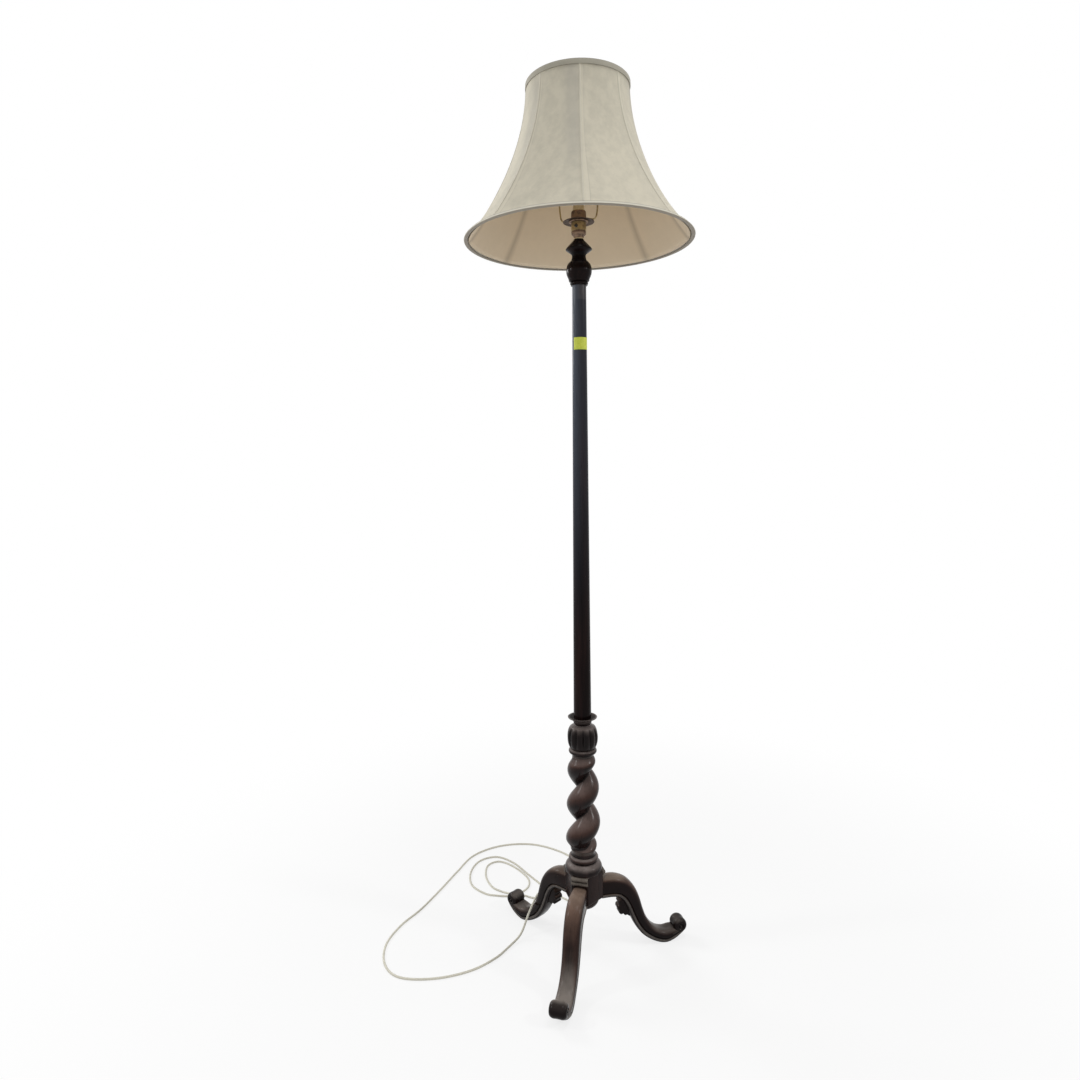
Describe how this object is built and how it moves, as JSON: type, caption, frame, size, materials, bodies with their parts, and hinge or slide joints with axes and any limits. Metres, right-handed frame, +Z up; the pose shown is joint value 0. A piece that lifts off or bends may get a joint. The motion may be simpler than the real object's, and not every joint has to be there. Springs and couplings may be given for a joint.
{
  "type": "floor lamp",
  "caption": "Carved wooden floor lamp with scroll legs, a barley-twist stem, a brass bayonet lampholder and a bell-shaped fabric shade.",
  "frame": {"origin": "on the floor, under the stem's axis", "axes": "+Z up along the stem, -Y along the front leg, +X to the right of someone who faces the front leg"},
  "size_m": [0.6709, 0.6567, 1.813],
  "materials": {
    "dark_wood": "dark stained mahogany, waxed, worn on the edges",
    "pale_wood": "bare beech dowel",
    "label_paper": "yellow-green paper label, blank",
    "brass": "dull unpolished brass",
    "pale_brass": "dull pale brass",
    "old_brass": "tarnished brown brass",
    "black_plastic": "moulded black phenolic",
    "steel": "plated steel",
    "pearl_glass": "pearl glass",
    "white_wire": "white coated steel wire",
    "cream_cloth": "cream cloth, slightly grey with age",
    "lining_cloth": "tan cloth lining",
    "cream_trim": "cream binding tape",
    "flex_sheath": "off-white flexible sheath",
    "black_rubber": "black rubber",
    "white_plastic": "white moulded plastic"
  },
  "bodies": {
    "stand": {"hub": "dark_wood", "leg_front": "dark_wood", "leg_right": "dark_wood", "leg_left": "dark_wood", "leg_dowels": "pale_wood", "base_collar": "dark_wood", "twist_section": "dark_wood", "lotus_section": "dark_wood", "shaft": "dark_wood", "top_turning": "dark_wood", "blank_label": "label_paper", "threaded_nipple": "brass", "seating_washer": "pale_brass", "lampholder_cap": "old_brass", "lampholder_body": "brass", "insulator": "black_plastic", "terminal_screws": "brass", "plunger_springs": "steel", "lower_shade_ring": "old_brass", "upper_shade_ring": "old_brass", "carrier_plate": "old_brass", "carrier_arms": "brass", "carrier_ring": "brass", "inner_flex": "flex_sheath", "cord_grommet": "black_rubber", "flex": "flex_sheath", "plug_cover": "white_plastic", "plug_base": "white_plastic", "plug_pins": "brass", "plug_fuse": "steel", "plug_cord_grip": "brass", "plug_screws": "steel"},
    "switch": {"switch_bar": "black_plastic"},
    "plungers": {"contact_plungers": "brass"},
    "bulb": {"bulb_cap": "brass", "bulb_contacts": "steel", "bulb_glass": "pearl_glass"},
    "shade_fitter": {"fitter_ring": "white_wire", "pivot_pins": "steel"},
    "shade": {"gimbal_struts": "white_wire", "shade_top_ring": "white_wire", "shade_bottom_ring": "white_wire", "shade_ribs": "white_wire", "shade_cover": "cream_cloth", "shade_lining": "lining_cloth", "seam_tapes": "cream_trim", "top_trim": "cream_trim", "bottom_trim": "cream_trim"}
  },
  "joints": [
    {"name": "switch_push", "type": "slide", "parent": "stand", "child": "switch", "axis": [0, 1, 0], "range_m": [0, 0.005]},
    {"name": "bulb_press", "type": "slide", "parent": "stand", "child": "bulb", "axis": [0, 0, -1], "range_m": [0, 0.002], "stiffness_N_per_m": 2000, "springref_m": -0.003},
    {"name": "plunger_press", "type": "slide", "parent": "stand", "child": "plungers", "axis": [0, 0, -1], "range_m": [0, 0.002], "stiffness_N_per_m": 500, "springref_m": -0.003, "deforming": ["plunger_springs"]},
    {"name": "shade_turn", "type": "hinge", "parent": "stand", "child": "shade_fitter", "pos_m": [0, 0, 1.7573], "axis": [0, 0, 1], "continuous": true},
    {"name": "shade_tilt", "type": "hinge", "parent": "shade_fitter", "child": "shade", "pos_m": [0, 0, 1.7659], "axis": [1, 0, 0], "range_deg": [-12, 12]}
  ],
  "couplings": [
    {"joint": "plunger_press", "follows": "bulb_press", "ratio": 1}
  ]
}
